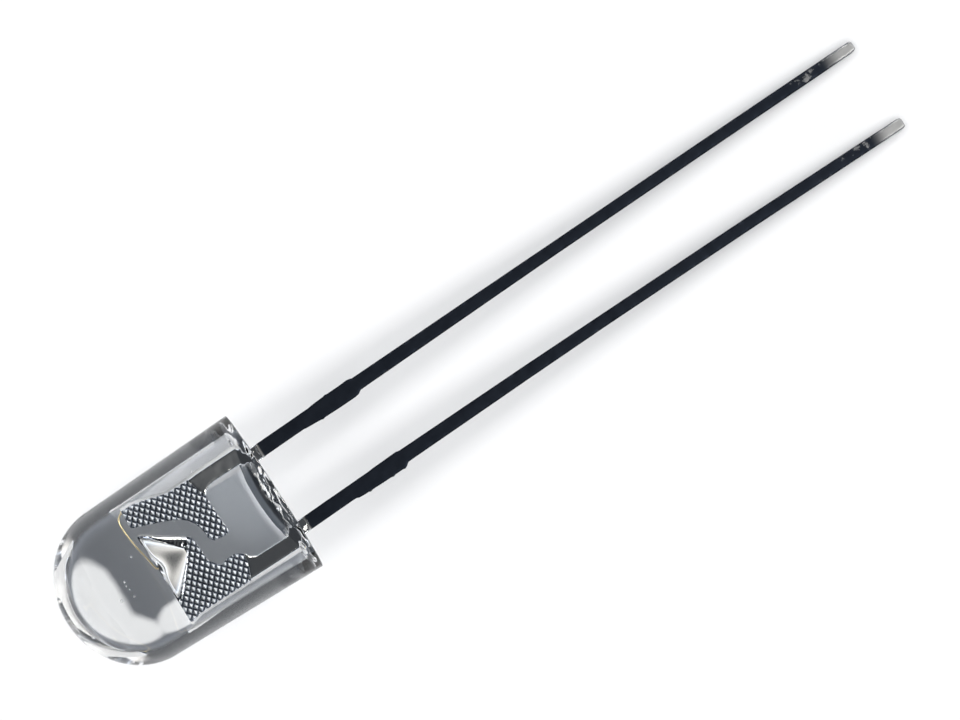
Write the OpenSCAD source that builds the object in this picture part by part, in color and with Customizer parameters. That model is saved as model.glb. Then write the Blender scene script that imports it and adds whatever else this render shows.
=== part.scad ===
// Clear two-lead light-emitting diode with an oval lens body, lying on its flat side.
// Millimetres. +X runs from the dome towards the lead tips, +Y across the wide way of
// the oval, +Z up. The body rests on the lowest point of its base rim and on the two
// lead tips, so the whole diode leans a few degrees, with the dome end a little high.

/* [Lens body] */
// Width of the oval body at its base rim, across both leads
body_w = 5.25; // [5:0.05:5.6]
// Thickness of the oval body at its base rim, the narrow way of the oval
body_t = 3.8; // [3.6:0.05:4.2]
// Height of the body from its base rim to the tip of the dome
body_h = 7.2; // [7:0.05:8]
// Height at which the nearly straight wall ends and the dome starts
shoulder_h = 4.97; // [4.8:0.05:5.3]
// How much narrower the body is at the shoulder than at its rim, in width
draft = 0.3; // [0.1:0.02:0.4]
// Depth of the hollow that the resin leaves in the base as it shrinks
dish_depth = 0.55; // [0.4:0.05:0.65]
// Width of the flat rim around that hollow
rim_w = 0.1; // [0.06:0.02:0.2]
// How far the resin climbs down each lead below the base rim
creep = 0.28; // [0.1:0.02:0.4]

/* [Lead frame] */
// Distance between the centres of the two leads where they leave the body
pitch = 2.54; // [2.5:0.02:2.6]
// Thickness of the stamped sheet
sheet_t = 0.44; // [0.38:0.02:0.5]
// Width of each lead beside the body
lead_w = 0.44; // [0.4:0.02:0.5]
// Length of the leads below the base rim
lead_len = 21.5; // [12:0.1:28]
// Width of each lead near its tip
tip_w = 0.35; // [0.32:0.01:0.42]
// How far the cut tie-bar stub stands out of the side of each lead
stub_out = 0.085; // [0.04:0.005:0.15]
// Distance from the base rim to the start of the tie-bar stub
stub_from = 1.95; // [1.5:0.05:2.5]
// Distance from the base rim to the end of the tie-bar stub
stub_to = 3.7; // [3:0.05:4.5]
// Sideways lean of the lead with the cup, in degrees
cup_lean = 0.95; // [0:0.05:1.5]
// Sideways lean of the lead with the post, in degrees
post_lean = 1.36; // [0:0.05:1.5]
// How far the whole lead frame sits off the body's centre line
frame_off = -0.06; // [-0.1:0.01:0.1]

/* [Reflector cup] */
// Half the width of the cup's rim, along the sheet
cup_half_w = 0.78; // [0.7:0.02:0.84]
// Half the thickness of the cup's rim, across the sheet
cup_half_t = 0.6; // [0.56:0.02:0.66]
// Height of the cup's rim above the base rim
cup_top = 4.1; // [4:0.02:4.16]
// Radius of the bowl at its rim
bowl_r = 0.48; // [0.44:0.01:0.5]
// Radius of the bowl's flat floor
bowl_floor_r = 0.28; // [0.24:0.01:0.3]
// Depth of the bowl
bowl_depth = 0.42; // [0.36:0.01:0.46]

/* [Chip and wire] */
// Side of the square chip
die_w = 0.3; // [0.24:0.01:0.32]
// Height of the chip
die_h = 0.14; // [0.1:0.01:0.2]
// Thickness of the adhesive under the chip
glue_h = 0.03; // [0.02:0.005:0.05]
// Diameter of the bond wire
wire_d = 0.036; // [0.03:0.002:0.05]
// Highest point of the bond wire above the base rim
wire_peak = 4.34; // [4.28:0.01:4.5]

/* [Hidden] */
$fn = 64;

// Resting lean: the lower edge of the lead tips and the lowest point of the rim touch z = 0.
lean = atan((body_t / 2 - sheet_t / 2) / lead_len);
// Squash that turns round sections into the oval
oval = body_t / body_w;
base_r = body_w / 2;
shoulder_r = (body_w - draft) / 2;
dome_h = body_h - shoulder_h;
// Ends of the leaning diode along X, which give the middle of its box
far_end = lead_len * cos(lean) + sheet_t / 2 * sin(lean);
dome_end = shoulder_h * cos(lean)
    + sqrt(pow(dome_h * cos(lean), 2) + pow(shoulder_r * oval * sin(lean), 2));
bowl_floor = cup_top - bowl_depth;
die_top = bowl_floor + glue_h + die_h;

// Half widths of a lead: distance from the base rim, then half width on the side of
// the stub and on the other side.
function lead_rows() = [
    [0.0, lead_w / 2, lead_w / 2],
    [stub_from - 0.25, lead_w / 2, lead_w / 2],
    [stub_from + 0.1, lead_w / 2 + stub_out * 0.7, lead_w / 2],
    [(stub_from + stub_to) / 2, lead_w / 2 + stub_out, lead_w / 2 + 0.02],
    [stub_to - 0.06, lead_w / 2 + stub_out, lead_w / 2 + 0.02],
    [stub_to + 0.1, lead_w / 2 - 0.008, lead_w / 2 - 0.008],
    [lead_len * 0.5, tip_w / 2 + 0.008, tip_w / 2 + 0.008],
    [lead_len - 0.14, tip_w / 2, tip_w / 2],
    [lead_len, tip_w / 2 - 0.07, tip_w / 2 - 0.07]
];
// One side of a lead, from the base rim to the tip. Points are [across, height].
function lead_side(x0, slant, side) = [
    for (r = lead_rows())
        [x0 + r[0] * tan(slant) + (side < 0 ? -r[1] : r[2]), -r[0]]
];
function backwards(list) = [for (i = [len(list) - 1:-1:0]) list[i]];

cup_x = -pitch / 2;
post_x = pitch / 2;

// Outline of the anvil above the base rim, clockwise from the outer edge of its lead
anvil_edge = [
    [cup_x - lead_w / 2, 3.7], [-1.57, 4.14], [0.95, 4.1], [0.94, 4.03], [0.25, 2.81],
    [-0.03, 2.76], [-0.52, 2.74], [-0.76, 2.51], [-0.71, 2.01], [-0.82, 1.77],
    [-0.97, 1.66], [cup_x + lead_w / 2, 1.42]
];
// Outline of the post above the base rim, clockwise from the inner edge of its lead
post_edge = [
    [post_x - lead_w / 2, 1.2], [1.05, 1.46], [0.95, 1.68], [0.81, 1.8], [-0.17, 1.77],
    [-0.2, 1.89], [-0.17, 2.27], [-0.03, 2.4], [0.17, 2.4], [0.42, 2.48], [0.56, 2.6],
    [0.69, 2.74], [0.88, 3.18], [1.2, 4.12], [1.7, 4.12], [1.7, 3.72], [1.64, 3.45],
    [1.59, 3.18], [1.51, 2.9], [1.46, 2.66], [1.45, 2.0], [post_x + lead_w / 2, 1.3]
];

// Sets a shape drawn as [across, height] into the diode: height runs to -X, across to +Y
module upright() { rotate([0, 0, 90]) children(); }
// Leans the diode as it rests, and puts the middle of its box over the origin
module at_rest() {
    translate([(dome_end - far_end) / 2, 0, body_t / 2 * cos(lean)])
        rotate([0, lean, 0]) children();
}
// Stands a solid drawn along +Z with its foot at the base rim into the diode
module stand() { rotate([0, -90, 0]) children(); }

module lens_blank() {
    scale([1, 1, oval]) {
        stand() cylinder(r1 = base_r, r2 = shoulder_r, h = shoulder_h);
        translate([-shoulder_h, 0, 0]) scale([dome_h / shoulder_r, 1, 1])
            difference() {
                sphere(r = shoulder_r);
                translate([0, -3, -3]) cube([6, 6, 6]);
            }
    }
}

dish_c = base_r - rim_w;
dish_r = (dish_c * dish_c + dish_depth * dish_depth) / (2 * dish_depth);

module dish() {
    scale([1, 1, oval]) translate([dish_r - dish_depth, 0, 0]) sphere(r = dish_r);
}

// Resin drawn up round a lead in a thin collar
module collar(x0) {
    translate([creep, x0, 0])
        stand() cylinder(r1 = lead_w * 0.5 * sqrt(2) + 0.03, r2 = lead_w * 0.5 * sqrt(2) + 0.2, h = creep + dish_depth);
}

module cup_outer() {
    stand() translate([0, 0, 3.12]) scale([cup_half_t / cup_half_w, 1, 1])
        cylinder(r1 = 0.2, r2 = cup_half_w, h = cup_top - 3.12);
}

module cup_lead_raw() {
    translate([0, frame_off, 0]) difference() {
        union() {
            upright() linear_extrude(sheet_t, center = true)
                polygon(concat(backwards(lead_side(cup_x, cup_lean, -1)), anvil_edge,
                    lead_side(cup_x, cup_lean, 1)));
            cup_outer();
        }
        stand() translate([0, 0, bowl_floor])
            cylinder(r1 = bowl_floor_r, r2 = bowl_r * 1.2 - bowl_floor_r * 0.2, h = bowl_depth * 1.2);
    }
}

module post_lead_raw() {
    translate([0, frame_off, 0])
        upright() linear_extrude(sheet_t, center = true)
            polygon(concat(backwards(lead_side(post_x, post_lean, -1)), post_edge,
                lead_side(post_x, post_lean, 1)));
}

module cup_lead() { color([0.42, 0.43, 0.45]) at_rest() cup_lead_raw(); }
module post_lead() { color([0.42, 0.43, 0.45]) at_rest() post_lead_raw(); }
module lens_body() {
    color([0.86, 0.88, 0.9, 0.35]) at_rest() difference() {
        union() {
            difference() { lens_blank(); dish(); }
            collar(cup_x + frame_off);
            collar(post_x + frame_off);
        }
        cup_lead_raw();
        post_lead_raw();
        led_die_raw();
        die_attach_raw();
        bond_wire_raw();
    }
}

// Bond wire, as [across, height]: up from the chip, over the rim and down to the post
wire_points = [
    [0, die_top + 0.02], [0, die_top + 0.12], [0, 3.98], [0.01, 4.12], [0.07, 4.2], [0.2, 4.25],
    [0.45, 4.29], [0.75, wire_peak - 0.02], [1.05, wire_peak], [1.3, wire_peak - 0.04],
    [1.48, 4.22], [1.56, 4.12 + wire_d * 0.7], [1.6, 4.12 + wire_d / 2], [1.65, 4.12 + wire_d / 2]
];
wire_sides = 8;
function unit(v) = v / norm(v);
function along(p, i) = unit(p[min(i + 1, len(p) - 1)] - p[max(i - 1, 0)]);
// A ring of the wire at point i. X is across, Y is height and Z is through the sheet.
function wire_ring(p, i) = let(t = along(p, i), n = [-t[1], t[0]]) [
    for (k = [0:wire_sides - 1])
        let(a = 360 * (k + 0.5) / wire_sides, r = wire_d / 2 / cos(180 / wire_sides))
            [p[i][0] + n[0] * r * cos(a), p[i][1] + n[1] * r * cos(a), r * sin(a)]
];
module wire_sweep(p) {
    m = wire_sides;
    last = (len(p) - 1) * m;
    polyhedron(
        points = [for (i = [0:len(p) - 1]) each wire_ring(p, i)],
        faces = concat(
            [[for (k = [0:m - 1]) k]],
            [for (i = [0:len(p) - 2], k = [0:m - 1]) let(a = i * m + k, b = i * m + (k + 1) % m) [a, a + m, b + m, b]],
            [[for (k = [m - 1:-1:0]) last + k]]
        )
    );
}

module led_die_raw() {
    stand() translate([-die_w / 2, frame_off - die_w / 2, bowl_floor + glue_h])
        cube([die_w, die_w, die_h]);
}
module die_attach_raw() {
    stand() translate([0, frame_off, bowl_floor]) cylinder(r1 = 0.25, r2 = 0.225, h = glue_h);
}
module bond_wire_raw() {
    translate([0, frame_off, 0]) {
        upright() wire_sweep(wire_points);
        stand() translate([0, 0, die_top]) cylinder(r1 = 0.05, r2 = 0.035, h = 0.04);
        stand() translate([0, 1.63, 4.12]) cylinder(r = 0.05, h = 0.016);
    }
}
module led_die() { color([0.35, 0.4, 0.5]) at_rest() led_die_raw(); }
module die_attach() { color([0.75, 0.75, 0.74]) at_rest() die_attach_raw(); }
module bond_wire() { color([0.85, 0.65, 0.2]) at_rest() bond_wire_raw(); }

lens_body();
cup_lead();
post_lead();
led_die();
die_attach();
bond_wire();
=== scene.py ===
import math

import bpy
import numpy as np
from mathutils import Vector, Matrix
from mathutils.geometry import delaunay_2d_cdt


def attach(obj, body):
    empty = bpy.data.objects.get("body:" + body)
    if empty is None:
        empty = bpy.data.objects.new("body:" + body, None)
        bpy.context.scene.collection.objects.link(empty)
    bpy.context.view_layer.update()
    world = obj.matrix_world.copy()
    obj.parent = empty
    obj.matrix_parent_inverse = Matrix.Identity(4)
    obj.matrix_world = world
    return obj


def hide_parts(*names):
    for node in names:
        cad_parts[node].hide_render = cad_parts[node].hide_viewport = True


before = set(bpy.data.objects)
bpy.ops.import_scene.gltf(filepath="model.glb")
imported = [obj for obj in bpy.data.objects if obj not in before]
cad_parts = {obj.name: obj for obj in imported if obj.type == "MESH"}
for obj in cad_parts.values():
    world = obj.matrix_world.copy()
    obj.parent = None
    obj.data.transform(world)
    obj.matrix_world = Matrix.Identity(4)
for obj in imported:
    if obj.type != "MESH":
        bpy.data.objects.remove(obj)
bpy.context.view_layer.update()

# ---------------------------------------------------------------------------
# The diode's own frame, in millimetres: u across the oval, h up the body from
# the base rim, w through the stamped sheet. put() leans it as it rests.
# ---------------------------------------------------------------------------
BODY_W, BODY_T, BODY_H = 5.25, 3.8, 7.2
SHOULDER, DRAFT = 4.97, 0.30
SHEET, LEAD_LEN, OFF = 0.44, 21.5, -0.06
OVAL = BODY_T / BODY_W
A0, A1 = BODY_W / 2, (BODY_W - DRAFT) / 2
DOME = BODY_H - SHOULDER
LEAN = math.atan((BODY_T / 2 - SHEET / 2) / LEAD_LEN)
CL, SL = math.cos(LEAN), math.sin(LEAN)
FAR = LEAD_LEN * CL + SHEET / 2 * SL
NEAR = SHOULDER * CL + math.hypot(DOME * CL, A1 * OVAL * SL)
X0, Z0 = (NEAR - FAR) / 2, BODY_T / 2 * CL


def put(p):
    """Points (u, h, w) in millimetres to the row frame in metres."""
    p = np.asarray(p, float)
    u, h, w = p[:, 0], p[:, 1], p[:, 2]
    return np.stack([-h * CL + w * SL + X0, u, h * SL + w * CL + Z0], 1) * 0.001


def mesh(name, pts, faces, attrs=None, smooth=True, sharp_deg=None):
    me = bpy.data.meshes.new(name)
    me.from_pydata([tuple(v) for v in put(pts)], [], [tuple(f) for f in faces])
    me.validate()
    for key, values in (attrs or {}).items():
        a = me.attributes.new(key, "FLOAT", "POINT")
        a.data.foreach_set("value", np.asarray(values, np.float32))
    me.polygons.foreach_set("use_smooth", [smooth] * len(me.polygons))
    me.update()
    ob = bpy.data.objects.new(name, me)
    bpy.context.scene.collection.objects.link(ob)
    import bmesh
    bm = bmesh.new()
    bm.from_mesh(me)
    bmesh.ops.recalc_face_normals(bm, faces=bm.faces)
    if sharp_deg:
        for e in bm.edges:
            if len(e.link_faces) == 2 and e.calc_face_angle() > math.radians(sharp_deg):
                e.smooth = False
    bm.to_mesh(me)
    bm.free()
    return ob


def vhash(x, y, seed=0.0):
    """A repeatable number from 0 to 1 for each point."""
    v = np.sin(x * 127.1 + y * 311.7 + seed * 74.7) * 43758.5453
    return v - np.floor(v)


def vnoise(x, y, seed=0.0):
    """Smooth value noise from 0 to 1 over the plane."""
    x, y = np.asarray(x, float), np.asarray(y, float)
    xi, yi = np.floor(x), np.floor(y)
    fx, fy = x - xi, y - yi
    fx, fy = fx * fx * (3 - 2 * fx), fy * fy * (3 - 2 * fy)
    a, b = vhash(xi, yi, seed), vhash(xi + 1, yi, seed)
    c, d = vhash(xi, yi + 1, seed), vhash(xi + 1, yi + 1, seed)
    return (a * (1 - fx) + b * fx) * (1 - fy) + (c * (1 - fx) + d * fx) * fy


# ---------------------------------------------------------------------------
# Lens body
# ---------------------------------------------------------------------------
CUP_X, POST_X, LEAD_W = -1.27 + OFF, 1.27 + OFF, 0.44
DISH_C = A0 - 0.1
DISH_D = 0.59
DISH_R = (DISH_C ** 2 + DISH_D ** 2) / (2 * DISH_D)


def dish(u, w):
    """Height of the hollow base over the rim plane."""
    r = np.hypot(u, w / OVAL)
    inside = np.clip(DISH_R ** 2 - r ** 2, 0, None)
    return np.clip(np.sqrt(inside) - (DISH_R - DISH_D), 0, None)


def rect_dist(u, w, cx):
    """Distance outside a lead's square section, negative inside."""
    du, dw = np.abs(u - cx) - LEAD_W / 2, np.abs(w) - SHEET / 2
    return np.hypot(np.clip(du, 0, None), np.clip(dw, 0, None)) + np.minimum(np.maximum(du, dw), 0)


def base_h(u, w):
    h = dish(u, w)
    # the resin froze a little unevenly across the hollow
    r = np.hypot(u, w / OVAL) / DISH_C
    calm = np.clip((1 - r) / 0.12, 0, 1)
    outer = np.clip((r - 0.55) / 0.3, 0, 1)
    h = h + calm * (0.012 + 0.05 * outer) * (vnoise(u * 1.7 + 3.1, w * 1.9, 1) - 0.5)
    h = h + calm * (0.004 + 0.035 * outer) * (vnoise(u * 4.3, w * 4.9 + 7.7, 2) - 0.5)
    for cx, s in ((CUP_X, 5), (POST_X, 9)):
        d = np.clip(rect_dist(u, w, cx), 0, None)
        ang = np.arctan2(w, u - cx)
        foot = -0.27 - 0.05 * np.sin(2 * ang + s) - 0.04 * np.sin(3 * ang + 2 * s)
        k = np.exp(-d / 0.085)
        h = h * (1 - k) + foot * k
    return h


def lens():
    n = 256
    ang = np.linspace(0, 2 * np.pi, n, endpoint=False)
    rings = []          # (half width at w = 0, height)
    lip = 0.035
    for k in range(7):  # rounded outer lip of the rim
        a = math.pi / 2 * k / 6
        rings.append((A0 - lip + lip * math.sin(a), lip - lip * math.cos(a)))
    for h in np.linspace(0.12, SHOULDER, 46):
        rings.append((A0 - (DRAFT / 2) * h / SHOULDER, h))
    m = 84
    for k in range(1, m):
        a = math.pi / 2 * k / m
        rings.append((A1 * math.cos(a), SHOULDER + DOME * math.sin(a)))
    pts, faces = [], []
    for r, h in rings:
        for a in ang:
            pts.append((r * math.cos(a), h, r * OVAL * math.sin(a)))
    for i in range(len(rings) - 1):
        for k in range(n):
            a, b = i * n + k, i * n + (k + 1) % n
            faces.append((a, b, b + n, a + n))
    top = len(pts)
    pts.append((0, BODY_H, 0))
    last = (len(rings) - 1) * n
    for k in range(n):
        faces.append((last + k, last + (k + 1) % n, top))
    # hollow base, joined to the lip's inner ring
    first = [(pts[k][0], pts[k][2]) for k in range(n)]
    extra = []
    for f in np.concatenate([[0.992, 0.984, 0.97], np.linspace(0.95, 0.06, 30)]):
        c = max(12, int(n * f))
        off = (hash(int(f * 1000)) % 7) * 0.1
        for k in range(c):
            a = 2 * np.pi * (k + off) / c
            extra.append((f * (A0 - lip) * math.cos(a), f * (A0 - lip) * OVAL * math.sin(a)))
    for cx in (CUP_X, POST_X):
        for d in (-0.03, 0.0, 0.012, 0.026, 0.045, 0.07, 0.1, 0.14, 0.19, 0.25, 0.33):
            half_u, half_w = LEAD_W / 2 + min(d, 0), SHEET / 2 + min(d, 0)
            rad = max(d, 0)
            loop = []
            steps = 10
            for (sx, sy, a0) in ((1, 1, 0), (-1, 1, 90), (-1, -1, 180), (1, -1, 270)):
                if rad > 0:
                    for j in range(7):
                        a = math.radians(a0 + 90 * j / 6)
                        loop.append((cx + sx * half_u + rad * math.cos(a), sy * half_w + rad * math.sin(a)))
                else:
                    loop.append((cx + sx * half_u, sy * half_w))
            full = []
            for j in range(len(loop)):
                p, q = loop[j], loop[(j + 1) % len(loop)]
                seg = math.hypot(q[0] - p[0], q[1] - p[1])
                c = max(1, int(seg / 0.04))
                for t in range(c):
                    full.append((p[0] + (q[0] - p[0]) * t / c, p[1] + (q[1] - p[1]) * t / c))
            extra += full
    ex = np.array(extra)
    # keep clear of doubled points
    keep, grid = [], {}
    for i, (x, y) in enumerate(np.vstack([np.array(first), ex])):
        key = (round(x / 0.008), round(y / 0.008))
        if key in grid and i >= n:
            continue
        grid[key] = 1
        if i >= n:
            keep.append(i - n)
    ex = ex[keep]
    coords = [Vector(p) for p in first] + [Vector(p) for p in ex]
    res = delaunay_2d_cdt(coords, [(k, (k + 1) % n) for k in range(n)], [], 1, 1e-6)
    vs, fs, orig = res[0], res[2], res[3]
    index = {}
    for j, o in enumerate(orig):
        src = [q for q in o if q < n]
        if src:
            index[j] = src[0]
        else:
            u, w = vs[j]
            index[j] = len(pts)
            pts.append((u, float(base_h(np.array([u]), np.array([w]))[0]), w))
    for f in fs:
        faces.append(tuple(index[j] for j in f))
    # a few tiny air bubbles near the face of the dome
    body_verts = len(pts)
    for u, h, r in ((-0.27, 5.53, 0.050), (-0.36, 5.16, 0.030), (-0.12, 5.17, 0.020), (0.02, 5.2, 0.024), (0.14, 5.18, 0.030), (0.64, 4.62, 0.028), (-0.71, 6.77, 0.055)):
        t = 1 - ((max(h, SHOULDER) - SHOULDER) / DOME) ** 2 - (u / A1) ** 2
        w = A1 * OVAL * math.sqrt(max(t, 0.05)) - 0.16
        first_b, rows, cols = len(pts), 7, 12
        for i in range(1, rows):
            for k in range(cols):
                a, b = math.pi * i / rows, 2 * math.pi * k / cols
                pts.append((u + r * math.sin(a) * math.cos(b), h + r * math.cos(a), w + r * math.sin(a) * math.sin(b)))
        pts += [(u, h + r, w), (u, h - r, w)]
        for k in range(cols):
            j = (k + 1) % cols
            faces.append((first_b + k, first_b + j, len(pts) - 2))
            for i in range(rows - 2):
                q = first_b + i * cols
                faces.append((q + k, q + cols + k, q + cols + j, q + j))
            q = first_b + (rows - 2) * cols
            faces.append((q + j, q + k, len(pts) - 1))
    P = np.array(pts)
    base = np.clip((3.3 - P[:, 1]) / 1.6, 0, 1)
    # painted shade on the ceiling of the hollow between the leads: near-black low down, grey above
    shade_coat_and_black_lead = (P[:, 1] > 0.2) & (P[:, 1] < 0.75) & (np.hypot(P[:, 0], P[:, 2] / OVAL) < 1.9)
    shade_coat_and_black_lead = shade_coat_and_black_lead * np.clip((1.02 - np.abs(P[:, 0])) / 0.1, 0, 1) * np.clip((P[:, 1] - 0.27) / 0.06, 0, 1)
    shade_band_step = np.clip((P[:, 1] - 0.43 + 0.10 * P[:, 0] ** 2) / 0.04, 0, 1)
    ob = mesh("lens", P, faces, {"base": base, "shade_coat_and_black_lead": shade_coat_and_black_lead, "shade_band_step": shade_band_step})
    for f in ob.data.polygons:      # the bubbles are holes in the resin
        if min(f.vertices) >= body_verts:
            f.flip()
    return ob


# ---------------------------------------------------------------------------
# Stamped sheet
# ---------------------------------------------------------------------------
def rounded(poly, radii, steps=6):
    """Polygon with each corner replaced by an arc of its own radius."""
    out, n = [], len(poly)
    for i in range(n):
        p, a, b = np.array(poly[i], float), np.array(poly[i - 1], float), np.array(poly[(i + 1) % n], float)
        r = radii[i]
        va, vb = a - p, b - p
        la, lb = np.linalg.norm(va), np.linalg.norm(vb)
        va, vb = va / la, vb / lb
        cosang = float(np.clip(va @ vb, -1, 1))
        half = math.acos(cosang) / 2
        if r <= 0 or half > math.radians(88):
            out.append(p)
            continue
        t = min(r / math.tan(half), 0.48 * la, 0.48 * lb)
        r = t * math.tan(half)
        s, e = p + va * t, p + vb * t
        c = p + (va + vb) / np.linalg.norm(va + vb) * (r / math.sin(half))
        a0 = math.atan2(*(s - c)[::-1])
        a1 = math.atan2(*(e - c)[::-1])
        d = (a1 - a0 + math.pi) % (2 * math.pi) - math.pi
        for k in range(steps + 1):
            ang = a0 + d * k / steps
            out.append(c + r * np.array([math.cos(ang), math.sin(ang)]))
    return np.array(out)


def resample(poly, spacing):
    """Closed outline with points no further apart than spacing(h)."""
    out, n = [], len(poly)
    for i in range(n):
        p, q = poly[i], poly[(i + 1) % n]
        L = np.linalg.norm(q - p)
        if L < 1e-5:
            continue
        c = max(1, int(math.ceil(L / spacing((p[1] + q[1]) / 2))))
        for k in range(c):
            out.append(p + (q - p) * k / c)
    out = np.array(out)
    keep = [0]
    for i in range(1, len(out)):
        if np.linalg.norm(out[i] - out[keep[-1]]) > 0.006:
            keep.append(i)
    return out[keep]


def seg_dist(pts, poly, chunk=4000):
    """Distance from each point to the closed outline, and whether it is inside."""
    a, b = poly, np.roll(poly, -1, 0)
    ab = b - a
    ll = (ab ** 2).sum(1)
    dist, inside = np.empty(len(pts)), np.empty(len(pts), bool)
    for s in range(0, len(pts), chunk):
        p = pts[s:s + chunk]
        ap = p[:, None, :] - a[None]
        t = np.clip((ap * ab[None]).sum(2) / ll[None], 0, 1)
        d = ap - t[..., None] * ab[None]
        dist[s:s + chunk] = np.sqrt((d ** 2).sum(2).min(1))
        y0, y1 = a[None, :, 1], b[None, :, 1]
        crosses = (y0 > p[:, None, 1]) != (y1 > p[:, None, 1])
        xx = a[None, :, 0] + (p[:, None, 1] - y0) / np.where(y1 - y0 == 0, 1, y1 - y0) * (b - a)[None, :, 0]
        inside[s:s + chunk] = (crosses & (p[:, None, 0] < xx)).sum(1) % 2 == 1
    return dist, inside


PITCH, GROOVE, DEPTH = 0.150, 0.048, 0.040
ROLL = 0.055


def knurl_mask(u, h, which):
    """1 where the sheet is knurled, falling to 0 over the edge of the knurled zone."""
    if which == "cup":
        low = np.interp(u, [-1.5, -1.02, -0.7], [1.97, 1.76, 1.74])
        sd, st = slant_dist(u, h)
        low = np.where((sd < 0.34 - 0.06 * np.clip(st, 0, 1)) & (st < 0.95), 9.0, low)
        low = np.where((np.abs(u) - cup_side((h - 3.15) / 0.95) < 0.05) & (h > 3.08), 9.0, low)
    else:
        low = np.interp(u, [0.9, 1.05, 1.5], [1.70, 1.84, 1.97])
        low = np.where(u < 0.9, 1.0, low)
    return np.clip((h - low) / 0.05, 0, 1)


def knurl(u, h):
    s1, s2 = (u + h) / math.sqrt(2), (u - h) / math.sqrt(2)
    out = []
    for s, o in ((s1, 0.031), (s2, 0.072)):
        q = (s - o) / PITCH
        d = np.abs(q - np.round(q)) * PITCH
        k = np.clip(1 - d / GROOVE, 0, 1)
        out.append(k * k * (3 - 2 * k) + 0.22 * (1 - (d / (PITCH / 2)) ** 2))
    return np.clip(np.maximum(out[0], out[1]), 0, 1.2) / 1.2


# the anvil's slanted side next to the cup, which the forming of the cup has drawn down
SLANT = (np.array([0.93, 4.02]), np.array([0.27, 2.84]))


def slant_dist(u, h):
    a, b = SLANT
    ab = b - a
    t = ((u - a[0]) * ab[0] + (h - a[1]) * ab[1]) / (ab @ ab)
    tc = np.clip(t, -0.05, 1.0)
    return np.hypot(u - a[0] - tc * ab[0], h - a[1] - tc * ab[1]), t


def roll(d, r):
    k = np.clip(d, 0, r)
    return r - np.sqrt(np.clip(r ** 2 - (r - k) ** 2, 0, None))


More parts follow.
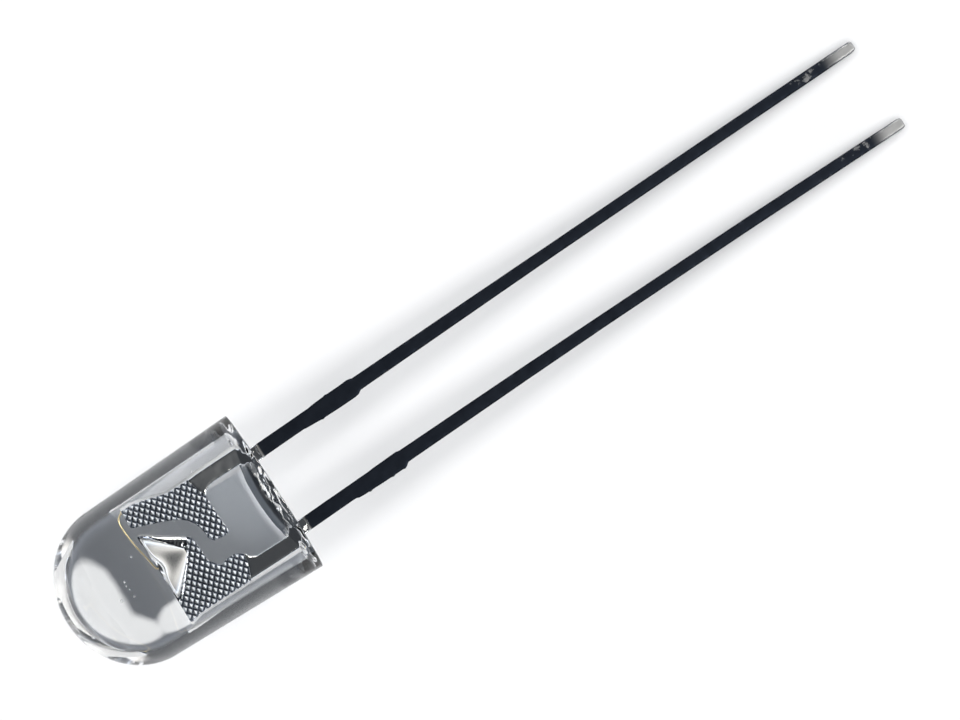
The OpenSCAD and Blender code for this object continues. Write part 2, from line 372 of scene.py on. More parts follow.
def plate(name, poly, which):
    """A stamped sheet with rolled edges, knurled above the lead on its front face."""
    n = len(poly)
    pts = []
    # rows of points just inside the edge
    tangent = np.roll(poly, -1, 0) - np.roll(poly, 1, 0)
    tangent /= np.linalg.norm(tangent, axis=1)[:, None]
    area = 0.5 * np.sum(poly[:, 0] * np.roll(poly[:, 1], -1) - np.roll(poly[:, 0], -1) * poly[:, 1])
    inward = np.stack([-tangent[:, 1], tangent[:, 0]], 1) * (1 if area > 0 else -1)
    for d in (0.07 * ROLL, 0.28 * ROLL, 0.6 * ROLL, 1.0 * ROLL, 1.35 * ROLL):
        pts.append(poly + inward * d)
    lo, hi = poly.min(0), poly.max(0)
    # diamond lattice on the knurled part
    s_off = np.array([-0.057, -0.038, -0.019, 0, 0.019, 0.038, 0.057, PITCH / 2])
    c = 7.0
    idx = np.arange(int(-c / PITCH), int(c / PITCH) + 1)
    l1 = np.sort((idx[:, None] * PITCH + 0.031 + s_off[None]).ravel())
    l2 = np.sort((idx[:, None] * PITCH + 0.072 + s_off[None]).ravel())
    g1, g2 = np.meshgrid(l1, l2)
    gu, gh = (g1 + g2).ravel() / math.sqrt(2), (g1 - g2).ravel() / math.sqrt(2)
    sel = (gu > lo[0]) & (gu < hi[0]) & (gh > 1.4) & (gh < hi[1])
    gp = np.stack([gu[sel], gh[sel]], 1)
    gp = gp[knurl_mask(gp[:, 0], gp[:, 1], which) > 0]
    pts.append(gp)
    # plain part of the sheet, and the long lead
    gx, gy = np.meshgrid(np.arange(lo[0], hi[0], 0.06), np.arange(0.0, hi[1], 0.06))
    pp = np.stack([gx.ravel(), gy.ravel()], 1)
    pts.append(pp[knurl_mask(pp[:, 0], pp[:, 1], which) <= 0])
    gx, gy = np.meshgrid(np.arange(lo[0], hi[0], 0.055), np.arange(-LEAD_LEN, 0.0, 0.12))
    pts.append(np.stack([gx.ravel(), gy.ravel()], 1))
    pts = np.vstack(pts)
    dist, inside = seg_dist(pts, poly)
    pts = pts[inside & (dist > 0.0032)]
    # thin out points that nearly coincide
    seen, keep = {}, []
    for i, (x, y) in enumerate(pts):
        key = (round(x / 0.011), round(y / 0.011))
        if key not in seen:
            seen[key] = 1
            keep.append(i)
    pts = pts[keep]
    coords = [Vector(p) for p in poly] + [Vector(p) for p in pts]
    res = delaunay_2d_cdt(coords, [(k, (k + 1) % n) for k in range(n)], [], 1, 1e-6)
    vs = np.array([list(v) for v in res[0]])
    fs, orig = res[2], res[3]
    dist, _ = seg_dist(vs, poly)
    edge = {}
    for j, o in enumerate(orig):
        for q in o:
            if q < n:
                edge[q] = j
    for q in edge.values():
        dist[q] = 0
    mask = knurl_mask(vs[:, 0], vs[:, 1], which)
    kn = knurl(vs[:, 0], vs[:, 1]) * mask
    wave = 0.004 * (vnoise(vs[:, 0] * 5, vs[:, 1] * 5, 4) - 0.5) * np.clip(dist / 0.05, 0, 1)
    zb = SHEET / 2 - roll(dist, ROLL) + wave
    z = zb - DEPTH * kn * np.clip(dist / 0.03, 0.35, 1)
    painted_shade = np.zeros(len(vs))
    if which == "cup":
        sd, st = slant_dist(vs[:, 0], vs[:, 1])
        near = np.clip((st + 0.02) / 0.06, 0, 1) * np.clip((1.0 - st) / 0.08, 0, 1) * (dist > sd - 0.02)
        z -= (0.38 + 0.26 * np.clip(0.5 - st, -0.15, 0.5)) * near * np.clip(0.125 - sd, 0, None)
        z -= near * 0.035 * np.exp(-((sd - 0.20) / 0.045) ** 2)
        # painted shade: a dark band over the shallow valley beside the slanted edge
        painted_shade = near * np.clip((sd - 0.13) / 0.02, 0, 1) * np.clip((0.34 - sd) / 0.06, 0, 1)
        # painted shade along the foot of the cup, over a shallow groove there
        rim = np.abs(vs[:, 0]) - cup_side((vs[:, 1] - 3.15) / 0.95)
        foot = (vs[:, 1] > 3.08) * np.clip((0.055 - rim) / 0.015, 0, 1)
        painted_shade = np.maximum(painted_shade, foot)
        z -= 0.02 * foot * np.clip(dist / 0.05, 0, 1)
    m = len(vs)
    front = np.stack([vs[:, 0] + OFF, vs[:, 1], z], 1)
    back = np.stack([vs[:, 0] + OFF, vs[:, 1], -zb], 1)
    P = [front, back]
    faces = [tuple(f) for f in fs] + [tuple(j + m for j in reversed(f)) for f in fs]
    ring = [edge[k] for k in range(n)]
    # wall between the two rolled edges
    rows = [ring]
    for k, s in enumerate((0.4, -0.4)):
        P.append(np.stack([vs[ring, 0] + OFF, vs[ring, 1], zb[ring] * s], 1))
        rows.append([2 * m + k * n + i for i in range(n)])
    rows.append([r + m for r in ring])
    for a, b in zip(rows[:-1], rows[1:]):
        for k in range(n):
            j = (k + 1) % n
            faces.append((a[k], a[j], b[j], b[k]))
    P = np.vstack(P)
    at_h = P[:, 1].copy()
    none = np.zeros(len(vs) + 2 * n)
    full = np.concatenate([kn, none])
    ms = np.concatenate([mask, none])
    shade_mask = np.concatenate([painted_shade, none])
    ed = np.concatenate([dist, dist, np.zeros(2 * n)])
    return P, faces, {"hgt": at_h, "knurl": full, "kmask": ms, "edge": ed, "painted_shade": shade_mask}


def lead_side(x0, slant, stub, plain, side, bow):
    rows = stub if side < 0 else plain
    t = math.tan(math.radians(slant))
    out = []
    for s, hw in rows:
        b = bow * 4 * (s / LEAD_LEN) * (1 - s / LEAD_LEN)
        out.append([x0 + s * t + b + side * hw, -s])
    return out


LEADS = {
    "cup": dict(
        stub=[(0.0, .22), (1.0, .221), (1.75, .22), (1.9, .224), (2.0, .262), (2.2, .279), (2.31, .281), (2.37, .303), (2.45, .284),
              (2.8, .299), (3.08, .300), (3.17, .324), (3.25, .302), (3.5, .304), (3.58, .322), (3.66, .290), (3.76, .214),
              (4.4, .212), (8.0, .197), (LEAD_LEN * .5, .184), (16.0, .180), (LEAD_LEN - .16, .172), (LEAD_LEN - .05, .155), (LEAD_LEN, .118)],
        plain=[(0.0, .22), (1.8, .22), (2.6, .221), (2.75, .232), (3.3, .239), (3.6, .243), (3.72, .216), (4.4, .212), (8.0, .197),
               (LEAD_LEN * .5, .184), (16.0, .180), (LEAD_LEN - .12, .172), (LEAD_LEN - .04, .150), (LEAD_LEN, .105)]),
    "post": dict(
        stub=[(0.0, .22), (1.72, .22), (1.8, .236), (2.1, .262), (2.3, .281), (2.36, .302), (2.42, .283), (2.7, .292), (3.0, .301),
              (3.3, .303), (3.5, .302), (3.62, .286), (3.74, .215), (4.4, .212), (8.0, .197), (LEAD_LEN * .5, .184), (16.0, .180),
              (LEAD_LEN - .2, .172), (LEAD_LEN - .07, .148), (LEAD_LEN, .110)],
        plain=[(0.0, .22), (2.1, .22), (2.34, .240), (2.7, .250), (2.76, .268), (2.84, .252), (3.3, .252), (3.52, .262), (3.62, .246),
               (3.7, .216), (4.4, .212), (8.0, .197), (LEAD_LEN * .5, .184), (16.0, .180), (LEAD_LEN - .1, .172), (LEAD_LEN - .03, .15), (LEAD_LEN, .112)]),
}
CX, PX = -1.27, 1.27
# the slot that the reflector cup fills, cut from the top of the anvil
SLOT = [[-0.70, 4.13], [-0.40, 3.66], [-0.12, 3.36], [0.12, 3.36], [0.40, 3.66], [0.70, 4.13]]


def cup_outline():
    left = lead_side(CX, 0.95, LEADS["cup"]["stub"], None, -1, 0.08)[::-1]
    right = lead_side(CX, 0.95, None, LEADS["cup"]["plain"], 1, 0.08)
    edge = [[-1.49, 3.70, .05], [-1.57, 4.15, .06]] + [p + [.0] for p in SLOT] + [
        [0.945, 4.13, .06], [0.93, 4.02, .05], [0.24, 2.80, .07], [-0.03, 2.765, .1], [-0.50, 2.745, .1],
        [-0.77, 2.50, .1], [-0.70, 2.30, .1], [-0.695, 2.02, .09], [-0.80, 1.80, .06], [-0.86, 1.70, .06],
        [-0.95, 1.66, .06], [-1.04, 1.46, .12]]
    pts = [p + [0.0] for p in left] + edge + [p + [0.0] for p in right]
    return pts


def post_outline():
    left = lead_side(PX, 1.36, LEADS["post"]["stub"], None, -1, 0.03)[::-1]
    right = lead_side(PX, 1.36, None, LEADS["post"]["plain"], 1, 0.03)
    edge = [[1.05, 1.34, .15], [1.03, 1.52, .08], [0.96, 1.68, .08], [0.80, 1.795, .07], [-0.17, 1.77, .07],
            [-0.205, 1.90, .06], [-0.17, 2.27, .08], [-0.03, 2.395, .09], [0.17, 2.40, .1], [0.42, 2.48, .1],
            [0.60, 2.62, .1], [0.71, 2.78, .1], [0.88, 3.16, .2], [1.19, 4.13, .06], [1.705, 4.12, .06],
            [1.70, 3.74, .08], [1.64, 3.46, .1], [1.575, 3.18, .1], [1.50, 2.90, .06], [1.45, 2.66, .08],
            [1.45, 2.00, .1], [1.48, 1.60, .2]]
    pts = [p + [0.0] for p in left] + edge + [p + [0.0] for p in right]
    return pts


def ready(outline):
    a = np.array(outline, float)
    poly = rounded(a[:, :2], a[:, 2], 5)
    return resample(poly, lambda h: 0.035 if h > 0.9 else (0.05 if h > -4.2 else 0.16))


# reflector cup: bulges from both faces of the sheet under a round rim
CUP_BOT, CUP_TOP = 3.14, 4.10
BOWL_R, BOWL_F, BOWL_D = 0.48, 0.28, 0.42


def cup_side(q):
    """Half width of the cup's outline, rounded at its foot."""
    q = np.clip(q, 0, None)
    return np.sqrt(q ** 2 + 0.16 * q) / 1.077 * (1 - 0.14 * q ** 4) / 0.985 + 0.02


def cup_solid():
    n = 96
    pts, faces, hg = [], [], []
    ang = np.linspace(0, 2 * np.pi, n, endpoint=False)

    def section(h, t, shrink=0.0):
        q = max(0.0, (h - 3.15) / 0.95)
        uu = cup_side(q) - shrink
        ww = 0.40 * q ** 0.9 - shrink * 0.9
        out = []
        for a in ang:
            c, s = math.cos(a), math.sin(a)
            side = (SHEET / 2 - 0.02) * min(1.0, abs(s) * 6)
            w = math.copysign(side + max(ww, 0) * abs(s) ** 1.1, s) if abs(s) > 1e-9 else 0.0
            u = uu * math.copysign(abs(c) ** 0.95, c)
            out.append((u, w))
        return out

    rings = []
    for t in np.linspace(0.02, 1, 30):
        h = CUP_BOT + (CUP_TOP - 0.045 - CUP_BOT) * t
        sec = section(h, t)
        rings.append([(u, h - dip(u, w, 0.35 * t ** 6), w) for u, w in sec])
    for k in range(1, 6):       # rounded rim
        a = math.pi / 2 * k / 5
        sec = section(CUP_TOP, 1, 0.05 * (1 - math.cos(a)))
        rings.append([(u, CUP_TOP - 0.045 + 0.045 * math.sin(a) - dip(u, w, 0.35), w) for u, w in sec])
    lip = rings[-1]
    inner = [(BOWL_R * 1.03 * math.cos(a), CUP_TOP - 0.0 - dip(0, 0, 0.35) * abs(math.sin(a)) ** 2, BOWL_R * 1.0 * math.sin(a)) for a in ang]
    for k in range(1, 4):
        f = k / 3
        rings.append([tuple(np.array(p) * (1 - f) + np.array(q) * f) for p, q in zip(lip, inner)])
    for k in range(1, 13):
        f = k / 12
        r = BOWL_R + (BOWL_F - BOWL_R) * f
        rings.append([(r * math.cos(a), inner[j][1] * (1 - f) + (CUP_TOP - BOWL_D) * f, r * math.sin(a)) for j, a in enumerate(ang)])
    for r in (0.2, 0.12, 0.05):
        rings.append([(r * math.cos(a), CUP_TOP - BOWL_D, r * math.sin(a)) for a in ang])
    P = []
    for ring in rings:
        P += [(u + OFF, h, w) for u, h, w in ring]
    for i in range(len(rings) - 1):
        for k in range(n):
            a, b = i * n + k, i * n + (k + 1) % n
            faces.append((a, b, b + n, a + n))
    faces.append(tuple(range(n)))
    faces.append(tuple((len(rings) - 1) * n + k for k in reversed(range(n))))
    P = np.array(P)
    return P, faces


def dip(u, w, k):
    """The rim sinks a little where the cup stands out of the sheet."""
    return k * 0.35 * math.exp(-(u / 0.30) ** 2) * min(1.0, abs(w) / 0.3)


def join(parts):
    P, F, A, base = [], [], {}, 0
    for pts, faces, attrs in parts:
        P.append(pts)
        F += [tuple(i + base for i in f) for f in faces]
        base += len(pts)
    P = np.vstack(P)
    for key in ("hgt", "knurl", "kmask", "edge", "painted_shade", "part"):
        A[key] = np.concatenate([np.asarray(at.get(key, np.zeros(len(p))), float) for p, f, at in parts])
    return P, F, A


def cup_lead():
    p1, f1, a1 = plate("cup", ready(cup_outline()), "cup")
    p2, f2 = cup_solid()
    P, F, A = join([(p1, f1, a1), (p2, f2, {"hgt": p2[:, 1], "edge": np.full(len(p2), .3), "part": np.ones(len(p2))})])
    return mesh("cup_lead_stamping", P, F, A, sharp_deg=50)


def post_lead():
    p1, f1, a1 = plate("post", ready(post_outline()), "post")
    P, F, A = join([(p1, f1, a1)])
    return mesh("post_lead_stamping", P, F, A, sharp_deg=50)


# ---------------------------------------------------------------------------
# Chip, adhesive and bond wire
# ---------------------------------------------------------------------------
FLOOR_H = CUP_TOP - BOWL_D
GLUE, DIE_W, DIE_H = 0.03, 0.30, 0.14
DIE_TOP = FLOOR_H + GLUE + DIE_H


def die():
    c, w = DIE_W / 2, 0.012
    rings = []
    for half, h in ((c, 0), (c, DIE_H - .045), (c - .003, DIE_H - .040), (c - .016, DIE_H - .036), (c - .022, DIE_H - .004), (c - .026, DIE_H)):
        ring = []
        r = w
        for q, (sx, sy) in enumerate(((1, 1), (-1, 1), (-1, -1), (1, -1))):
            for j in range(5):
                a = math.pi / 2 * q + math.pi / 2 * j / 4
                ring.append((sx * (half - r) + r * math.cos(a), FLOOR_H + GLUE + h, sy * (half - r) + r * math.sin(a)))
        rings.append(ring)
    n = len(rings[0])
    P = [p for r in rings for p in r]
    faces = []
    for i in range(len(rings) - 1):
        for k in range(n):
            a, b = i * n + k, i * n + (k + 1) % n
            faces.append((a, b, b + n, a + n))
    faces.append(tuple(range(n)))
    faces.append(tuple((len(rings) - 1) * n + k for k in reversed(range(n))))
    P = np.array(P)
    P[:, 0] += OFF
    return mesh("chip_block", P, faces, {"hgt": P[:, 1] - FLOOR_H - GLUE}, sharp_deg=35)


def glue():
    n = 64
    P, faces = [], []
    prof = [(0.0, 0.0), (0.246, 0.0), (0.243, 0.006), (0.225, 0.013), (0.195, 0.024), (0.172, 0.029), (0.15, 0.03), (0.0, 0.03)]
    for r, h in prof[1:-1]:
        for k in range(n):
            a = 2 * math.pi * k / n
            sq = 1.0 / max(abs(math.cos(a)), abs(math.sin(a)))
            f = np.clip((0.246 - r) / 0.1, 0, 1)
            rr = r * (1 - f) + r * f * (0.5 + 0.5 * sq) * 0.97
            rr += 0.004 * math.sin(5 * a + 1) * (1 if 0.16 < r < 0.24 else 0)
            P.append((rr * math.cos(a) + OFF, FLOOR_H + h, rr * math.sin(a)))
    m = len(prof) - 2
    for i in range(m - 1):
        for k in range(n):
            a, b = i * n + k, i * n + (k + 1) % n
            faces.append((a, b, b + n, a + n))
    faces.append(tuple(range(n)))
    faces.append(tuple((m - 1) * n + k for k in reversed(range(n))))
    return mesh("chip_adhesive", np.array(P), faces, sharp_deg=60)


def smooth_path(ctrl, n):
    """Catmull-Rom through the control points."""
    c = np.array(ctrl, float)
    c = np.vstack([2 * c[0] - c[1], c, 2 * c[-1] - c[-2]])
    out = []
    for i in range(1, len(c) - 2):
        for k in range(n):
            t = k / n
            out.append(0.5 * ((2 * c[i]) + (-c[i - 1] + c[i + 1]) * t + (2 * c[i - 1] - 5 * c[i] + 4 * c[i + 1] - c[i + 2]) * t * t
                              + (-c[i - 1] + 3 * c[i] - 3 * c[i + 1] + c[i + 2]) * t ** 3))
    out.append(c[-2])
    return np.array(out)


def wire():
    r, m = 0.021, 14
    ctrl = [(0, DIE_TOP + .03), (0, DIE_TOP + .10), (0.0, 3.99), (.012, 4.10), (.07, 4.155), (.2, 4.184), (.45, 4.232),
            (.75, 4.300), (1.1, 4.337), (1.36, 4.342), (1.51, 4.300), (1.585, 4.215), (1.625, 4.145)]
    path = smooth_path(ctrl, 7)
    P, faces = [], []
    for i, p in enumerate(path):
        t = path[min(i + 1, len(path) - 1)] - path[max(i - 1, 0)]
        t = t / np.linalg.norm(t)
        nrm = np.array([-t[1], t[0]])
        for k in range(m):
            a = 2 * math.pi * k / m
            P.append((p[0] + nrm[0] * r * math.cos(a), p[1] + nrm[1] * r * math.cos(a), r * math.sin(a)))
    for i in range(len(path) - 1):
        for k in range(m):
            a, b = i * m + k, i * m + (k + 1) % m
            faces.append((a, b, b + m, a + m))
    faces.append(tuple(range(m)))
    faces.append(tuple((len(path) - 1) * m + k for k in reversed(range(m))))

    def lathe(cu, ch, prof, seg=28):
        base = len(P)
        for rr, hh in prof:
            for k in range(seg):
                a = 2 * math.pi * k / seg
                P.append((cu + rr * math.cos(a), ch + hh, rr * math.sin(a)))
        for i in range(len(prof) - 1):
            for k in range(seg):
                a, b = base + i * seg + k, base + i * seg + (k + 1) % seg
                faces.append((a, b, b + seg, a + seg))
        faces.append(tuple(base + k for k in range(seg)))
        faces.append(tuple(base + (len(prof) - 1) * seg + k for k in reversed(range(seg))))

    # the ball on the chip, pressed flat, and the wedge on the post
    lathe(0, DIE_TOP, [(.040, 0), (.049, .004), (.052, .012), (.049, .021), (.038, .027), (.030, .030), (.026, .037), (.019, .043), (.012, .045)])
    lathe(1.63, 4.112, [(.03, 0), (.05, .003), (.055, .010), (.048, .018), (.03, .023), (.012, .025)])
    P2 = np.array(P)
    P2[:, 0] += OFF
    return mesh("gold_bond_wire", P2, faces, sharp_deg=60)


# ---------------------------------------------------------------------------
# Materials
# ---------------------------------------------------------------------------
def new_mat(name):
    m = bpy.data.materials.new(name)
    m.use_nodes = True
    nt = m.node_tree
    for nd in list(nt.nodes):
        nt.nodes.remove(nd)
    out = nt.nodes.new("ShaderNodeOutputMaterial")
    bsdf = nt.nodes.new("ShaderNodeBsdfPrincipled")
    nt.links.new(bsdf.outputs[0], out.inputs["Surface"])
    return m, nt, bsdf, out


def nd(nt, kind, **kw):
    n = nt.nodes.new(kind)
    for k, v in kw.items():
        if k == "ins":
            for name, val in v.items():
                n.inputs[name].default_value = val
        else:
            setattr(n, k, v)
    return n


def math_node(nt, op, a, b=None, clamp=False):
    n = nt.nodes.new("ShaderNodeMath")
    n.operation = op
    n.use_clamp = clamp
    for i, v in enumerate((a, b)):
        if v is None:
            continue
        if isinstance(v, (int, float)):
            n.inputs[i].default_value = v
        else:
            nt.links.new(v, n.inputs[i])
    return n.outputs[0]


def ramp(nt, fac, stops, mode="LINEAR"):
    n = nt.nodes.new("ShaderNodeValToRGB")
    n.color_ramp.interpolation = mode
    cr = n.color_ramp
    while len(cr.elements) < len(stops):
        cr.elements.new(0.5)
    for e, (p, c) in zip(cr.elements, stops):
        e.position = p
        e.color = tuple(c) + (1,) if len(c) == 3 else c
    nt.links.new(fac, n.inputs[0])
    return n.outputs[0]


def maprange(nt, val, a, b, c, d, smooth=False):
    n = nt.nodes.new("ShaderNodeMapRange")
    n.clamp = True
    if smooth:
        n.interpolation_type = "SMOOTHSTEP"
    for i, v in enumerate((a, b, c, d)):
        n.inputs[i + 1].default_value = v
    nt.links.new(val, n.inputs[0])
    return n.outputs[0]


def mix_color(nt, fac, a, b):
    n = nt.nodes.new("ShaderNodeMix")
    n.data_type = "RGBA"
    if isinstance(fac, (int, float)):
        n.inputs["Factor"].default_value = fac
    else:
        nt.links.new(fac, n.inputs["Factor"])
    for key, v in (("A", a), ("B", b)):
        sock = [s for s in n.inputs if s.name == key and s.type == "RGBA"][0]
        if isinstance(v, tuple):
            sock.default_value = v + (1,) if len(v) == 3 else v
        else:
            nt.links.new(v, sock)
    return [s for s in n.outputs if s.type == "RGBA"][0]


def resin():
    m, nt, b, out = new_mat("clear_epoxy")
    b.inputs["Base Color"].default_value = (0.985, 0.992, 1.0, 1)
    b.inputs["Transmission Weight"].default_value = 1.0
    b.inputs["IOR"].default_value = 1.53
    b.inputs["Roughness"].default_value = 0.0
    # Lamp light and the metal's own reflections pass straight through the
    # resin, which dims the floor under it: most of what goes into a real lens
    # here leaves it again by its sides.
    path = nd(nt, "ShaderNodeLightPath")
    low = nd(nt, "ShaderNodeAttribute", attribute_name="base").outputs["Fac"]
    dim = nd(nt, "ShaderNodeBsdfTransparent")
    nt.links.new(mix_color(nt, low, (0.70, 0.715, 0.735), (0.80, 0.82, 0.84)), dim.inputs["Color"])
    clear = nd(nt, "ShaderNodeBsdfTransparent")
    clear.inputs["Color"].default_value = (0.97, 0.97, 0.97, 1)

    def either(name, no, yes):
        mx = nd(nt, "ShaderNodeMixShader")
        nt.links.new(path.outputs[name], mx.inputs[0])
        nt.links.new(no, mx.inputs[1])
        nt.links.new(yes, mx.inputs[2])
        return mx.outputs[0]

    # painted shade: a dark diffuse coat over the glass on the hollow's ceiling, near-black low down and grey above
    painted_shade_coat = nd(nt, "ShaderNodeBsdfDiffuse")
    shade_band_step = nd(nt, "ShaderNodeAttribute", attribute_name="shade_band_step").outputs["Fac"]
    nt.links.new(mix_color(nt, shade_band_step, (0.018, 0.021, 0.025), (0.130, 0.147, 0.165)), painted_shade_coat.inputs["Color"])
    glass = nd(nt, "ShaderNodeMixShader")
    nt.links.new(math_node(nt, "MULTIPLY", nd(nt, "ShaderNodeAttribute", attribute_name="shade_coat_and_black_lead").outputs["Fac"], 0.85), glass.inputs[0])
    nt.links.new(b.outputs[0], glass.inputs[1])
    nt.links.new(painted_shade_coat.outputs[0], glass.inputs[2])
    metal_ray = either("Is Singular Ray", clear.outputs[0], glass.outputs[0])
    surf = either("Is Glossy Ray", glass.outputs[0], metal_ray)
    surf = either("Is Diffuse Ray", surf, dim.outputs[0])
    surf = either("Is Shadow Ray", surf, dim.outputs[0])
    nt.links.new(surf, out.inputs["Surface"])
    return m


def metal():
    m, nt, b, out = new_mat("lead_frame_metal")
    b.inputs["Metallic"].default_value = 1.0
    hgt = nd(nt, "ShaderNodeAttribute", attribute_name="hgt").outputs["Fac"]
    kn = nd(nt, "ShaderNodeAttribute", attribute_name="knurl").outputs["Fac"]
    km = nd(nt, "ShaderNodeAttribute", attribute_name="kmask").outputs["Fac"]
    inside = maprange(nt, hgt, -0.34, -0.2, 0, 1, True)
    # painted shade in the knurl's grooves, which are coloured near-black; the knurled zone itself is a darker bluish
    # grey than the plain sheet
    raised = mix_color(nt, km, (0.72, 0.72, 0.71), (0.55, 0.575, 0.60))
    steel = mix_color(nt, maprange(nt, kn, 0.32, 0.82, 0, 1, True), raised, (0.075, 0.085, 0.105))
    shade_mask = nd(nt, "ShaderNodeAttribute", attribute_name="painted_shade").outputs["Fac"]
    # painted shade: darker beside the slanted edge and along the cup's foot
    steel = mix_color(nt, shade_mask, steel, (0.07, 0.08, 0.10))
    # leads near-black outside the resin, bare and blotched towards the cut tips
    geo = nd(nt, "ShaderNodeNewGeometry").outputs["Position"]
    blot = nd(nt, "ShaderNodeTexNoise", ins={"Scale": 2600.0, "Detail": 3.0, "Roughness": 0.6})
    nt.links.new(geo, blot.inputs["Vector"])
    tip = maprange(nt, hgt, -LEAD_LEN + 3.2, -LEAD_LEN + 0.4, 0, 1)
    bare = math_node(nt, "MULTIPLY", maprange(nt, blot.outputs["Fac"], 0.60, 0.68, 0, 1, True), tip)
    bare = math_node(nt, "MAXIMUM", bare, maprange(nt, hgt, -LEAD_LEN + 1.15, -LEAD_LEN + 0.4, 0, 1, True))
    shade_coat_and_black_lead = mix_color(nt, blot.outputs["Fac"], (0.008, 0.010, 0.015), (0.016, 0.020, 0.028))
    shade_coat_and_black_lead = mix_color(nt, bare, shade_coat_and_black_lead, (0.28, 0.285, 0.29))
    col = mix_color(nt, inside, shade_coat_and_black_lead, steel)
    nt.links.new(col, b.inputs["Base Color"])
    rough = maprange(nt, inside, 0, 1, 0.42, 0.17)
    rk = math_node(nt, "ADD", rough, math_node(nt, "MULTIPLY", km, 0.19))
    nt.links.new(rk, b.inputs["Roughness"])
    return m


def simple(name, color, metallic, rough, **kw):
    m, nt, b, out = new_mat(name)
    b.inputs["Base Color"].default_value = tuple(color) + (1,)
    b.inputs["Metallic"].default_value = metallic
    b.inputs["Roughness"].default_value = rough
    for k, v in kw.items():
        b.inputs[k].default_value = v
    return m


# ---------------------------------------------------------------------------
# Build
# ---------------------------------------------------------------------------
body = lens()
cup = cup_lead()
post = post_lead()
chip = die()
paste = glue()
gold = wire()

for ob, node, slot_name, mat in (
    (body, "lens_body", "clear_resin", resin()),
    (cup, "cup_lead", "lead_steel", metal()),
    (post, "post_lead", "lead_steel", None),
    (chip, "led_die", "chip", simple("chip_surface", (0.10, 0.13, 0.2), 0.0, 0.15)),
    (paste, "die_attach", "silver_adhesive", simple("silver_paste", (0.6, 0.6, 0.58), 1.0, 0.4)),
    (gold, "bond_wire", "gold_wire", simple("gold", (1.0, 0.82, 0.46), 1.0, 0.28)),
):
    ob.data.materials.clear()
    ob.data.materials.append(mat or cup.data.materials[0])
    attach(ob, "root")
    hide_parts(node)
    print("PIECE", ob.name, len(ob.data.vertices), sum(len(p.vertices) - 2 for p in ob.data.polygons))

# ---------------------------------------------------------------------------
# Floor, light and camera
# ---------------------------------------------------------------------------
FLOOR_Z = -2e-5
CUT_H = 4.15
under = []
for k in range(64):
    t = 2 * math.pi * k / 64
    c, d = math.cos(t), math.sin(t)
    under.append((X0 - 3.3 - 3.1 * math.copysign(abs(c) ** 0.6, c), 1.95 * math.copysign(abs(d) ** 0.6, d)))
    if k in (15, 49):
        under[-1] = (X0 - CUT_H, under[-1][1])
card = simple("white_card", (0.86, 0.86, 0.86), 0.0, 0.9, **{"Specular IOR Level": 0.0})


def sheet(name, pts, faces):
    me = bpy.data.meshes.new(name)
    me.from_pydata([(x * 0.001, y * 0.001, FLOOR_Z) for x, y in pts], [], faces)
    ob = bpy.data.objects.new(name, me)
    bpy.context.scene.collection.objects.link(ob)
    ob.data.materials.append(card)
    return ob


dome_floor = sheet("floor_under_dome", under, [tuple(k % 64 for k in range(49, 80))])
# the strip along one side is its own sheet, since the lens gathers more light there
SPLIT = 0.62
k = (under[30][1] - SPLIT) / (under[30][1] - under[31][1])
cut = [(X0 - CUT_H, SPLIT), (under[30][0] * (1 - k) + under[31][0] * k, SPLIT)]
strip_floor = sheet("floor_under_strip", under[15:31] + cut[::-1], [tuple(range(18))])
body_floor = sheet("floor_under_body", cut + under[31:50], [tuple(range(21))])
around = under + [(x * 200, y * 320) for x, y in
                  [((p[0] - X0 + 3.3) / 3.1 * 3, p[1] / 1.95) for p in under]]
floor = sheet("floor", around, [(k, (k + 1) % 64, 64 + (k + 1) % 64, 64 + k) for k in range(64)])

world = bpy.data.worlds.new("tent")
bpy.context.scene.world = world
world.use_nodes = True
wt = world.node_tree
for n_ in list(wt.nodes):
    wt.nodes.remove(n_)
wo = wt.nodes.new("ShaderNodeOutputWorld")
bg = wt.nodes.new("ShaderNodeBackground")
tc = wt.nodes.new("ShaderNodeTexCoord")
sep = wt.nodes.new("ShaderNodeSeparateXYZ")
wt.links.new(tc.outputs["Generated"], sep.inputs[0])
Z, X = sep.outputs["Z"], sep.outputs["X"]
cool = lambda v: (v * .91, v * .99, v * 1.13)
warm = lambda v: (v * 1.03, v * 1.0, v * 0.95)
TOP = 0.055
# a low bright band all round, higher and brighter beyond the dome and beyond the leads
band = ramp(wt, Z, [(0.0, cool(1.7)), (0.08, cool(1.7)), (0.26, cool(0.55)), (0.42, cool(TOP)), (1.0, cool(TOP))])
dome_end = ramp(wt, Z, [(0.0, warm(0.5)), (0.20, warm(0.5)), (0.40, warm(0.0)), (1.0, warm(0.0))])
lead_end = ramp(wt, Z, [(0.0, warm(0.5)), (0.45, warm(1.2)), (0.62, warm(0.0)), (1.0, warm(0.0))])
flat = math_node(wt, "SQRT", math_node(wt, "SUBTRACT", 1.0001, math_node(wt, "MULTIPLY", Z, Z)))
turn = math_node(wt, "DIVIDE", X, flat)


def add_band(base, extra, sign):
    k = maprange(wt, math_node(wt, "MULTIPLY", turn, sign), 0.6, 0.95, 0, 1, True)
    n = wt.nodes.new("ShaderNodeMix")
    n.data_type = "RGBA"
    n.blend_type = "ADD"
    wt.links.new(k, n.inputs["Factor"])
    socks = [s for s in n.inputs if s.type == "RGBA"]
    wt.links.new(base, socks[0])
    wt.links.new(extra, socks[1])
    return [s for s in n.outputs if s.type == "RGBA"][0]


sky = add_band(add_band(band, dome_end, -1), lead_end, 1)
wt.links.new(sky, bg.inputs["Color"])
bg.inputs["Strength"].default_value = 1.0
wt.links.new(bg.outputs[0], wo.inputs["Surface"])


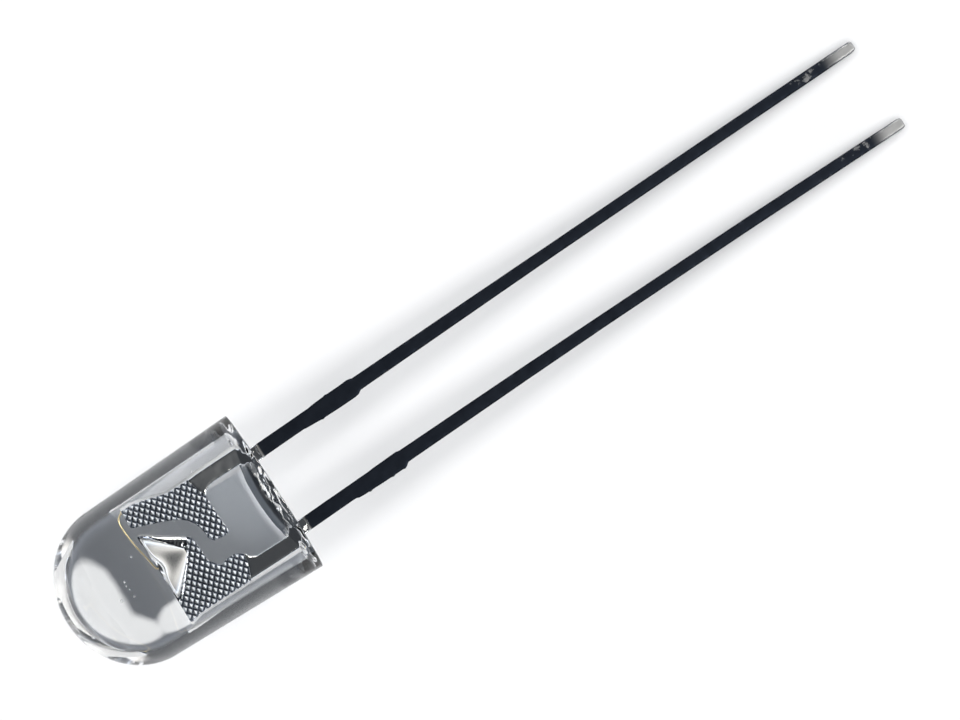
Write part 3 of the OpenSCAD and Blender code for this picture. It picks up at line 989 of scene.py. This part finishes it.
def softbox(name, el, az, dist, w, h, radiance, color=(1, 1, 1)):
    """A rectangular lamp aimed at the diode; w is its level side, h the other."""
    ld = bpy.data.lights.new(name, "AREA")
    ld.shape = "RECTANGLE"
    ld.size, ld.size_y = w, h
    ld.energy = radiance * math.pi * w * h
    ld.color = color
    ob = bpy.data.objects.new(name, ld)
    bpy.context.scene.collection.objects.link(ob)
    e, a = math.radians(el), math.radians(az)
    back = Vector((math.cos(e) * math.cos(a), math.cos(e) * math.sin(a), math.sin(e)))
    side = Vector((-math.sin(a), math.cos(a), 0))
    up = back.cross(side)
    ob.matrix_world = Matrix.Translation(back * dist) @ Matrix((side, up, back)).transposed().to_4x4()
    return ob


def only(ob, diffuse=True, glossy=True, through=True):
    ob.visible_camera = False
    ob.visible_diffuse, ob.visible_glossy, ob.visible_transmission = diffuse, glossy, through


# overhead fill for the floor, a small hard key on the dome, and a glint for the metal
fill = softbox("fill", 88, 0, 0.55, 0.7, 0.7, 3.0, (1.0, 1.0, 1.0))
only(fill, glossy=False, through=False)
lit = bpy.data.collections.new("lit_by_fill")
for ob in (floor, body, cup, post):
    lit.objects.link(ob)
fill.light_linking.receiver_collection = lit
shade = bpy.data.collections.new("shading_the_fill")
for ob in (floor, cup, post):
    shade.objects.link(ob)
fill.light_linking.blocker_collection = shade
side = softbox("side", 88, 0, 0.55, 0.7, 0.7, 1.05, (1.0, 1.0, 1.0))
only(side, glossy=False, through=False)
beside = bpy.data.collections.new("lit_by_side")
beside.objects.link(strip_floor)
side.light_linking.receiver_collection = beside
shade_none = bpy.data.collections.new("shading_the_side")
shade_none.objects.link(floor)
side.light_linking.blocker_collection = shade_none
# light thrown up under the stamped sheet, which the dome's edge shows
under_lamp = softbox("under", -34, 0, 0.5, 0.55, 0.35, 1.3, (1.0, 0.98, 0.93))
only(under_lamp, diffuse=False, through=False)
under_lamp.data.cycles.use_multiple_importance_sampling = False
sheets = bpy.data.collections.new("lit_by_under")
for ob in (cup, post):
    sheets.objects.link(ob)
under_lamp.light_linking.receiver_collection = sheets
clear_way = bpy.data.collections.new("shading_the_under")
clear_way.objects.link(chip)
under_lamp.light_linking.blocker_collection = clear_way
only(softbox("glint", 58, -36, 0.5, 0.16, 0.16, 19.0, (1.0, 0.98, 0.94)), diffuse=False, through=False)
only(softbox("glint_2", 46, 52, 0.5, 0.16, 0.16, 15.0, (1.0, 0.98, 0.94)), diffuse=False, through=False)


def spot(name, el, az, dist, radius, k, color):
    """A small hard lamp aimed at the dome."""
    e, a = math.radians(el), math.radians(az)
    back = Vector((math.cos(e) * math.cos(a), math.cos(e) * math.sin(a), math.sin(e)))
    ld = bpy.data.lights.new(name, "SPOT")
    ld.energy = k * math.pi / math.sin(e) * dist ** 2 * 4 * math.pi
    ld.spot_size, ld.spot_blend = math.radians(8), 0.0
    ld.shadow_soft_size = radius
    ld.color = color
    ob = bpy.data.objects.new(name, ld)
    bpy.context.scene.collection.objects.link(ob)
    ob.matrix_world = Matrix.Translation(Vector(((X0 - 5) * 0.001, 0, 0)) + back * dist) @ back.to_track_quat("Z", "Y").to_matrix().to_4x4()
    return ob


key = spot("key", 55.3, -46.8, 0.5, 0.007, 1.66, (1.0, 0.955, 0.885))
only(key, glossy=False, through=False)
# a soft pool on the floor seen between the leads, stronger towards the post
pool = spot("pool", 89, 90, 0.16, 0.004, 0.19, (0.94, 1.0, 1.07))
pool.matrix_world = Matrix.Translation(Vector(((X0 - 0.75) * 0.001, 0.0007, 0.16)))
pool.data.spot_size, pool.data.spot_blend = math.radians(1.3), 1.0
pool.data.shadow_soft_size = 0.0002
only(pool, glossy=False, through=False)
between = bpy.data.collections.new("lit_by_pool")
between.objects.link(body_floor)
pool.light_linking.receiver_collection = between
pool.light_linking.blocker_collection = clear_way
brow = spot("brow", 89, 90, 0.045, 0.004, 0.56, (0.98, 1.0, 1.02))
brow.matrix_world = Matrix.Translation(Vector(((X0 - 0.47) * 0.001, 0, 0.045))) @ Matrix.Diagonal((1, 2.9, 1, 1))
brow.data.spot_size, brow.data.spot_blend = math.radians(1.0), 1.0
brow.data.shadow_soft_size = 0.00005
only(brow, glossy=False, through=False)
brow.light_linking.receiver_collection = between
brow.light_linking.blocker_collection = clear_way
under_dome = bpy.data.collections.new("lit_by_key")
under_dome.objects.link(dome_floor)
key.light_linking.receiver_collection = under_dome

scene = bpy.context.scene
scene.view_settings.view_transform = "Standard"
scene.view_settings.look = "None"
scene.view_settings.exposure = 0.0
scene.view_settings.gamma = 1.0

cam_data = bpy.data.cameras.new("camera")
cam = bpy.data.objects.new("camera", cam_data)
bpy.context.scene.collection.objects.link(cam)
cam_data.sensor_width = 36.0
cam_data.lens = 300.0
PX_MM = 34.1
DIST = cam_data.lens / 36.0 * (960 / PX_MM)
RIGHT = Vector((math.cos(math.radians(33)), -math.sin(math.radians(33)), 0))
UP = Vector((math.sin(math.radians(33)), math.cos(math.radians(33)), 0))
BACK = Vector((0, 0, 1))
centre = Vector((X0, 0, Z0)) + RIGHT * ((480 - 274.3) / PX_MM) + UP * ((490.75 - 360) / PX_MM)
rot = Matrix((RIGHT, UP, BACK)).transposed().to_4x4()
cam.matrix_world = Matrix.Translation((centre + BACK * DIST) * 0.001) @ rot
cam_data.clip_start = 0.005
cam_data.clip_end = 5.0
scene.camera = cam
